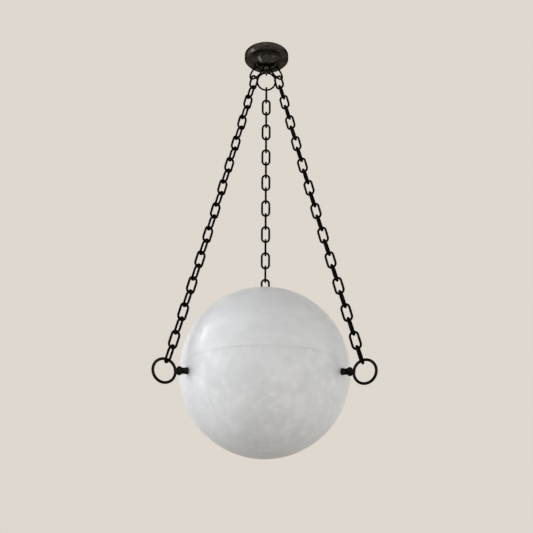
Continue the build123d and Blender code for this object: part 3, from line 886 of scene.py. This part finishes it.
def hex_nut(flats, bore, low, high):
    """Hexagon nut about Z with turned-down corners and a threaded bore."""
    half, corner, mouth = flats / 2, flats / sqrt(3), bore + 0.5
    drop = (corner - half) * 0.6
    profile = [(half * 0.97, low, 0), (half, low + 0.02, 0), (corner, low + drop, 0.2)]
    profile += [(corner, high - drop, 0.2), (half, high - 0.02, 0), (half * 0.97, high, 0), (mouth, high, 0)]
    thread = thread_ridges(bore + thread_depth, low + 0.5, high - 0.5, thread_pitch, thread_depth)
    profile += thread[::-1] + [(mouth, low, 0)]
    return turned(profile, 72, closed=True, flats=flats)


one_bolt = ring_bolt()
one_collar = spool_collar()
for side, azimuth, *_ in sides:
    place = shift_by(0, 0, globe_height) @ turn_about("Z", azimuth) @ lay_over
    fit_piece(f"{side}_ring_bolt_bronze", moved(one_bolt, place), turned_bronze, f"{side}_ring_bolt")
    fit_piece(f"{side}_collar_bronze", moved(one_collar, place), turned_bronze, f"{side}_spool_collar")

for node, mesh, finish in (
    ("outer_felts", washer_ring(collar_radius, felt_seat, felt_seat + felt_thickness, 0.35), felt),
    ("inner_felts", washer_ring(inner_felt_radius, frame_tab_face, inner_felt_face, 0.35), felt),
    ("bolt_washers", washer_ring(washer_radius, nut_face, washer_face, 0.3), steel),
    ("bolt_nuts", hex_nut(nut_flats, shank_radius, nut_face - nut_height, nut_face), steel),
):
    mesh.transform(lay_over)
    fit_copies(f"{node}_set", mesh, len(azimuths), azimuths[0], globe_height, finish, node)


# Chains and top rings


def top_ring(azimuth, ring_turn):
    """Welded ring through the hub's eye, leaning along its chain and turned about that line."""
    radius, height = below_eye(top_ring_inner - link_gap)
    place = turn_about("Z", azimuth) @ shift_by(radius, 0, height) @ turn_about("Y", -degrees(chain_lean))
    place = place @ turn_about("Z", ring_turn) @ turn_about("Y", 90)
    ring = torus(top_ring_radius, top_ring_wire, 104, 20, top_ring_swelling)
    return moved(ring, place @ turn_about("Z", top_ring_weld_angle))


for side, azimuth, twist, ring_turn in sides:
    fit_piece(f"{side}_top_ring_wire", top_ring(azimuth, ring_turn), wire_bronze, f"{side}_top_ring")
    links = chain_links(0, link_count - 1, azimuth, twist)
    nodes = (f"{side}_chain", f"{side}_first_link", f"{side}_lower_link")
    fit_piece(f"{side}_chain_wire", links, wire_bronze, *nodes)
    end_link = chain_links(link_count - 1, 1, azimuth, twist)
    fit_piece(f"{side}_end_link_wire", end_link, wire_bronze, f"{side}_end_link")


# Canopy


def cover_drum():
    """Spun drum with a bevelled lower edge, open for the hub and drilled for two screws."""
    bevel_end = canopy_radius - canopy_bevel
    turn = atan2(canopy_bevel, canopy_depth - canopy_wall_height)
    wall = canopy_radius - canopy_sheet
    floor_radius = bevel_end - canopy_sheet * tan((pi / 2 - turn) / 2)
    under, floor = -canopy_depth, -canopy_depth + canopy_sheet
    outline = [(canopy_radius, 0, 0.5), (canopy_radius, -canopy_wall_height, 0.9), (bevel_end, under, 1.4)]
    outline += [(canopy_opening, under, 0.3), (canopy_opening, floor, 0.3), (floor_radius, floor, 0.4)]
    outline += [(wall, -canopy_wall_height + canopy_sheet * tan(turn / 2), 0.4), (wall, 0, 0.4)]
    drill = moved(rod_of(screw_hole, -90, 90), shift_by(0, 0, screw_height) @ turn_about("X", 90))
    return combined(ring_of(outline, 160, 6), [drill], "DIFFERENCE")


def coved_hub():
    """Casting with a coved flank and three eyes in the chains' planes, with painted shade below its foot."""
    cove_top = hub_top - hub_edge
    cove_middle = (hub_radius, cove_top - hub_cove)
    foot_rise = hub_bottom - cove_middle[1]
    foot_radius = hub_radius - sqrt(hub_cove**2 - foot_rise**2)
    end_angle = degrees(atan2(foot_rise, foot_radius - hub_radius))
    rim = [(hub_opening, hub_top, 0.5), (hub_radius, hub_top, 0.4), (hub_radius, cove_top, 0.5)]
    profile = [(r, z, 0.0) for r, z, _ in rounded(rim + [(hub_radius - 2, cove_top - 0.1, 0)])[:-1]]
    profile += arc(cove_middle, hub_cove, 93, end_angle - 2, 30)
    floor = hub_bottom + hub_floor
    foot = [(foot_radius + 0.3, hub_bottom + 0.6, 0), (foot_radius - 0.3, hub_bottom, 0.9)]
    foot += [(rod_hole, hub_bottom, 0.4), (rod_hole, floor, 0.3), (foot_radius - 5.0, floor, 2.0)]
    profile += rounded(foot + [(hub_opening, hub_top, 0)])[1:-1]
    radius, height = below_eye(-eye_inner_radius)
    loop = torus(eye_inner_radius + eye_wire / 2, eye_wire, 48, 24)
    eye = moved(loop, shift_by(radius, 0, height) @ turn_about("X", 90))
    eyes = [moved(eye, turn_about("Z", azimuth)) for azimuth in azimuths]
    casting = combined(turned(profile, 144, closed=True), eyes, "UNION")
    # Painted shade on what hangs below the foot (the eyes), darker with depth, up to a share of 0.2
    painted_shade = casting.attributes.new("painted_shade", "FLOAT", "POINT")
    for vert in casting.vertices:
        depth = hub_bottom - vert.co.z / MM
        painted_shade.data[vert.index].value = max(0.0, min(0.2, depth / 4))
    return casting


def round_head_screw():
    """Slotted round-headed screw along +X, its head outside the drum's wall."""
    head, tall, seat, tip = 4.75, 3.2, canopy_radius, canopy_radius - 13.0
    dome = arc_radius(head, tall)
    spread_angle = degrees(asin(head / dome))
    profile = [(0, tip, 0), (1.4, tip, 0)]
    profile += thread_ridges(screw_shank, seat - 12.2, seat - 1.5, 0.7, 0.25)
    profile += [(screw_shank, seat, 0), (head - 0.3, seat, 0), (head, seat + 0.25, 0.4)]
    cap = arc((0, seat + tall - dome), dome, 90 - spread_angle + 5, 90, 14)
    profile += [(r, z, 0.6) for r, z, _ in cap]
    slot = moved(block(12.0, 1.1, 2.8), shift_by(0, 0, seat + tall))
    screw = combined(turned(profile, 40), [slot], "DIFFERENCE")
    return moved(screw, turn_about("Y", 90) @ turn_about("Z", 35))


fit_piece("canopy_cover_drum", cover_drum(), cast_bronze, "canopy_cover")
fit_piece("canopy_hub_casting", coved_hub(), cast_bronze, "canopy_hub")
fit_copies("canopy_screw_pair", round_head_screw(), 2, -90, screw_height, rubbed_bronze, "canopy_screws")


# Small hardware in the canopy and in the globe's seam and crown


def threaded_rod():
    """Hollow rod from the strap to below the hub's nut."""
    end = rod_radius - 0.4
    profile = [(rod_bore, rod_low, 0), (end, rod_low, 0)]
    profile += thread_ridges(rod_radius, rod_low + 0.8, rod_high - 0.8, 1.1, 0.32)
    return turned(profile + [(end, rod_high, 0), (rod_bore, rod_high, 0)], 56, closed=True)


def slotted_screw(seat, tip):
    """Screw along Z with a slotted head below its seat."""
    head, shank, low = screw_head, screw_shank, seat - screw_head_height
    outline = [(0, low, 0), (head, low, 0.8), (head, seat, 0.3), (shank, seat, 0)]
    profile = rounded(outline) + thread_ridges(shank, seat + 0.2, tip - 0.5, 0.7, 0.25)
    profile += [(shank - 0.6, tip, 0), (0, tip, 0)]
    slot = moved(block(3 * head, 1.0, 2.4), shift_by(0, 0, low))
    return combined(turned(profile, 40), [slot], "DIFFERENCE")


def cord_sleeve():
    """Flanged sleeve in the rod's lower end."""
    seat, barrel, flange, low, high = rod_low, 4.65, 7.0, rod_low - 2.0, rod_low + 7.0
    outline = [(cord_bore, low, 0.5), (flange, low, 0.9), (flange, seat, 0.3), (barrel, seat, 0.2)]
    return ring_of(outline + [(barrel, high, 0.4), (cord_bore, high, 0.3)], 56)


def crown_bush():
    """Flanged bush through the lid's crown."""
    seat, low, barrel, flange = globe_height + 224.894, globe_height + 207.162, 6.5, 12.0
    outline = [(cord_bore, low, 0.4), (barrel, low, 0.5), (barrel, seat, 0.2), (flange, seat, 0.3)]
    return ring_of(outline + [(flange, seat + 3.0, 1.5), (cord_bore, seat + 3.0, 1.5)], 72)


strap_nut = hex_nut(rod_nut_flats, rod_hole, strap_face - rod_nut_height, strap_face)
hub_nut = hex_nut(rod_nut_flats, rod_hole, hub_bottom - rod_nut_height, hub_bottom)
earthing = moved(slotted_screw(strap_face, 0.0), shift_by(0, earth_screw_offset, 0))
crown_nut_top = globe_height + 212.662
crown_nut = band_of(6.5, 12.0, crown_nut_top - 4.0, crown_nut_top, (0.3, 0.7, 0.5, 0.3), 72)
seal_low = globe_height - lip_height - gasket_thickness
seal_size = (inner_radius + lip_clearance, inner_radius + lip_wall, seal_low, seal_low + gasket_thickness)
seal = band_of(*seal_size, (0.5, 0.5, 0.7, 0.7), stone_steps)
fit_piece("hanging_rod_thread", threaded_rod(), brass, "hanging_rod")
fit_piece("rod_nut_pair", joined(strap_nut, hub_nut), turned_bronze, "rod_nuts")
fit_piece("earth_screw_brass", earthing, brass, "earth_screw")
fit_piece("cord_sleeve", cord_sleeve(), black_silicone, "cable_bush")
fit_piece("crown_bush_bronze", crown_bush(), turned_bronze, "lid_bush")
fit_piece("crown_nut_bronze", crown_nut, turned_bronze, "lid_bush_nut")
fit_piece("soft_seal", seal, silicone, "seam_gasket")


# Lamp frame, lampholders and bulbs


def bent_arm():
    """Arm of the lamp frame in the XZ plane: from the plate out to the tab on a ring bolt."""
    tilt = radians(bolt_latitude)

    def on_tab(along, rise):
        return (along * cos(tilt) + rise * sin(tilt), -along * sin(tilt) + rise * cos(tilt))

    foot = on_tab(frame_tab_face, -tab_half_height)
    root = plate_radius - 13.5
    under, over = -plate_drop + 0.02, -plate_drop + frame_thickness - 0.02
    corners = [
        (*on_tab(frame_tab_face, tab_half_height), 0.3),
        (*foot, 3.0),
        (foot[0] - 2.5, foot[1] - 2.5, 2.0),
        (plate_radius, under, 4.0),
        (root, under, 0.0),
        (root, over, 0.0),
        (plate_radius, over, 4.0),
        (*on_tab(washer_face, -tab_half_height), 3.0),
        (*on_tab(washer_face, tab_half_height), 0.3),
    ]
    profile = rounded(corners, closed=True, steps=4)
    shape = bmesh.new()
    near = [shape.verts.new((r * MM, -arm_half_width * MM, z * MM)) for r, z, _ in profile]
    far = [shape.verts.new((r * MM, arm_half_width * MM, z * MM)) for r, z, _ in profile]
    shape.faces.new(near)
    shape.faces.new(reversed(far))
    for k in range(len(profile)):
        after = (k + 1) % len(profile)
        shape.faces.new((near[k], far[k], far[after], near[after]))
    drill = moved(rod_of(sleeve_bore, washer_face - 5, frame_tab_face + 5), lay_over)
    return combined(closed_mesh(shape), [drill], "DIFFERENCE")


def lamp_frame_sheet():
    """Round plate on three arms, drilled for the cord and the lampholders' screws."""
    low, high = -plate_drop, -plate_drop + frame_thickness
    plate = band_of(plate_opening, plate_radius, low, high, (0.4, 0.5, 0.5, 0.4), 120, 3)
    arm = bent_arm()
    whole = combined(plate, [moved(arm, turn_about("Z", azimuth)) for azimuth in azimuths], "UNION")
    drill = moved(rod_of(screw_hole, low - 3, high + 3), shift_by(holder_circle, 0, 0))
    holes = [moved(drill, turn_about("Z", angle)) for angle in holder_angles]
    return moved(combined(whole, holes, "DIFFERENCE"), shift_by(0, 0, globe_height))


def porcelain_holder():
    """Glazed cup with two shallow grooves, standing on the plate."""
    outside, bore, top = 18.0, 13.7, 36.0
    outline = [(screw_hole, 0, 0.4), (15.0, 0, 1.0), (outside, 5.0, 1.6)]
    for groove in (11.0, 27.0):
        outline += [(outside, groove - 0.9, 0.4), (17.3, groove, 0.6), (outside, groove + 0.9, 0.4)]
    outline += [(outside, 33.0, 1.2), (16.0, top, 0.9), (bore, top, 0.7)]
    return ring_of(outline + [(bore, holder_floor, 0.6), (screw_hole, holder_floor, 0.4)], 72, 4)


def rolled_shell():
    """Brass shell with a rolled thread, lining the lampholder."""
    outside, top = 13.69, 33.0
    inside = [(13.2 + 0.28 * (1 - cos(2 * pi * k / 8)) / 2, top - 24.0 * k / 56, 0.0) for k in range(57)]
    return turned([(outside, holder_floor, 0), (outside, top, 0)] + inside, 64, closed=True)


def screw_cap():
    """Bulb's cap: contact tip, insulator cone and rolled thread."""
    rim, top = 13.0, cap_length
    profile = rounded([(0, 0, 0), (5.25, 0, 1.2), (6.6, 1.4, 0.5), (10.5, 3.0, 0.5), (12.2, 4.6, 0)])[:-1]
    profile += [(rim - 0.75 * (1 + cos(2 * pi * k / 8)) / 2, 4.8 + 16.2 * k / 36, 0.0) for k in range(37)]
    profile += rounded([(12.3, 21.2, 0), (rim, 21.8, 0.4), (rim, top, 0.5), (10.0, top, 0), (0, top, 0)])
    return turned(profile, 64)


def round_bulb():
    """Opal envelope: tapered neck and ball."""
    ball, neck, ball_start = 22.5, 15.0, 26
    middle = neck + ball * sin(radians(ball_start))
    profile = [(0, 0, 0), (11.6, 0, 0), (12.0, 0.5, 0)]
    profile += [(12.0 + 7.6 * k / 10, 0.5 + 13.6 * k / 10, 0) for k in range(1, 10)]
    return turned(profile + arc((0, middle), ball, -ball_start, 90, 40), 80)


contact = band_of(screw_hole, 7.0, holder_floor, contact_top, (0.2, 0.2, 0.4, 0.4), 48, 3)
fit_piece("lamp_frame_sheet", lamp_frame_sheet(), steel, "lamp_frame")
for node, mesh, finish in (
    ("holder_screws", slotted_screw(-frame_thickness, 7.5), steel),
    ("socket_shells", rolled_shell(), brass),
    ("centre_contacts", contact, brass),
):
    at_holder = moved(mesh, shift_by(holder_circle, 0, 0))
    fit_copies(f"{node}_set", at_holder, len(holder_angles), holder_angles[0], plate_top, finish, node)
cup, cap, envelope = porcelain_holder(), screw_cap(), round_bulb()
for number, angle in enumerate(holder_angles, start=1):
    foot = turn_about("Z", angle) @ shift_by(holder_circle, 0, plate_top)
    fit_piece(f"lampholder_{number}_cup", moved(cup, foot), porcelain, f"lampholder_{number}")
    on_contact = foot @ shift_by(0, 0, contact_top)
    fit_piece(f"bulb_cap_{number}_thread", moved(cap, on_contact), aluminium, f"bulb_cap_{number}")
    on_cap = foot @ shift_by(0, 0, contact_top + cap_length)
    fit_piece(f"bulb_{number}_envelope", moved(envelope, on_cap), bulb_white, f"bulb_glass_{number}")


# Finishes on the solids, for those whose own shape is shown

shown = (steel, brass, porcelain, aluminium, bulb_white, silicone, cast_bronze, felt, bowl_stone)
finishes = {slot: material for material, slot in shown}
for part in frame["record"]["subparts"]:
    node = frame["nodes"][part["node"]]
    node.data.materials.clear()
    node.data.materials.append(finishes[part["material_slot"]])


# Stage, light and camera

backdrop_colour = (0.73, 0.685, 0.625, 1)
floor_colour = (0.52, 0.485, 0.44, 1)
floor_height = -2.4
floor_half_size = 14.0


def shown_plain(tree):
    """1 on rays that show a plain colour: seen straight, mirrored or through glass."""
    rays = put(tree, "LightPath").outputs
    seen = calc("MAXIMUM", Field(rays["Is Camera Ray"]), Field(rays["Is Glossy Ray"]))
    return calc("MAXIMUM", seen, Field(rays["Is Transmission Ray"]))


def stage_floor():
    """Large pale floor, well below the globe, which shows mostly its plain colour."""
    shape = bmesh.new()
    bmesh.ops.create_grid(shape, x_segments=4, y_segments=4, size=floor_half_size)
    bmesh.ops.translate(shape, vec=(0, 0, floor_height), verts=shape.verts)
    mesh = meshed(shape)
    material, tree, shader, place = finish_base("pale_floor")
    colour = blend(clouds(place, 1.5, 3.0), (0.38, 0.36, 0.33, 1), (0.42, 0.40, 0.37, 1))
    surface(shader, colour, 0.8)
    plain = made(tree, "Emission", {"Color": floor_colour, "Strength": 1.0})
    shares = {0: shown_plain(tree) * 0.85, 1: Field(shader.outputs[0]), 2: plain}
    out = next(node for node in tree.nodes if node.type == "OUTPUT_MATERIAL")
    feed(out, {"Surface": made(tree, "MixShader", shares)})
    mesh.materials.append(material)
    floor = placed("floor", mesh)


def room_light():
    """Pale surroundings, weaker above and behind; what the camera sees of them is plain."""
    world = bpy.data.worlds.new("surroundings")
    scene.world = world
    world.use_nodes = True
    tree = world.node_tree
    tree.nodes.clear()
    way = made(tree, "TexCoord", output="Generated")
    upward, behind = (calc("MAXIMUM", part_of(way, number), 0.0) for number in (2, 1))
    strength = upward * -0.42 + behind * -0.5 + 0.80
    light = made(tree, "Background", {"Color": (0.985, 0.99, 1.0, 1), "Strength": strength})
    plain = made(tree, "Background", {"Color": backdrop_colour, "Strength": 1.0})
    mixed = made(tree, "MixShader", {0: shown_plain(tree), 1: light, 2: plain})
    put(tree, "OutputWorld", {0: mixed})


def area_light(name, place, target, size, power, colour, beam=180, roll=0.0):
    """Soft rectangular light aimed at a point; a fill, with a full beam, isn't in reflections."""
    data = bpy.data.lights.new(name, "AREA")
    data.shape = "RECTANGLE"
    data.size, data.size_y = size
    data.energy = power
    data.color = colour
    data.spread = radians(beam)
    light = placed(name, data)
    light.visible_glossy = beam < 180
    light.visible_camera = False
    aim = (Vector(target) - Vector(place)).to_track_quat("-Z", "Y").to_matrix().to_4x4()
    light.matrix_world = Matrix.Translation(place) @ aim @ turn_about("Z", roll)


stage_floor()
room_light()
globe_spot = (0.0, 0.0, globe_height * MM)
canopy_spot = (0.0, 0.0, hub_top * MM)
sky = (0.95, 0.975, 1.0)
area_light("left_fill", (-2.6, -0.75, -1.0), globe_spot, (2.2, 2.2), 55.0, (0.925, 0.96, 1.0))
area_light("right_fill", (2.5, 0.1, -1.6), globe_spot, (2.0, 1.6), 17.5, (1.0, 0.99, 0.97))
area_light("low_front_fill", (0.9, -2.35, -2.1), globe_spot, (2.6, 1.3), 31.0, (1.0, 0.985, 0.96))
area_light("window_top", (-1.9, 0.3, 0.2), globe_spot, (0.4, 0.55), 0.37, (0.90, 0.95, 1.0), 50)
area_light("window_foot", (-2.1, 0.45, -1.15), globe_spot, (0.5, 1.2), 0.3, (0.93, 0.965, 1.0), 60)
area_light("canopy_strip", (-0.56, -0.12, -0.36), canopy_spot, (0.085, 1.25), 0.65, sky, 100, -21)
area_light("canopy_right_pane", (1.1, 0.1, -1.75), canopy_spot, (0.3, 0.3), 0.05, sky, 30)

camera_data = bpy.data.cameras.new("photo_camera")
camera_data.sensor_width = 36.0
camera_data.lens = 55.62
camera = placed("photo_camera", camera_data)
camera_place = Matrix.Translation((0.0034, -2.102, -1.6496))
camera.matrix_world = camera_place @ turn_about("X", 113.778) @ turn_about("Z", 0.3)
scene.camera = camera
scene.view_settings.view_transform = "Standard"
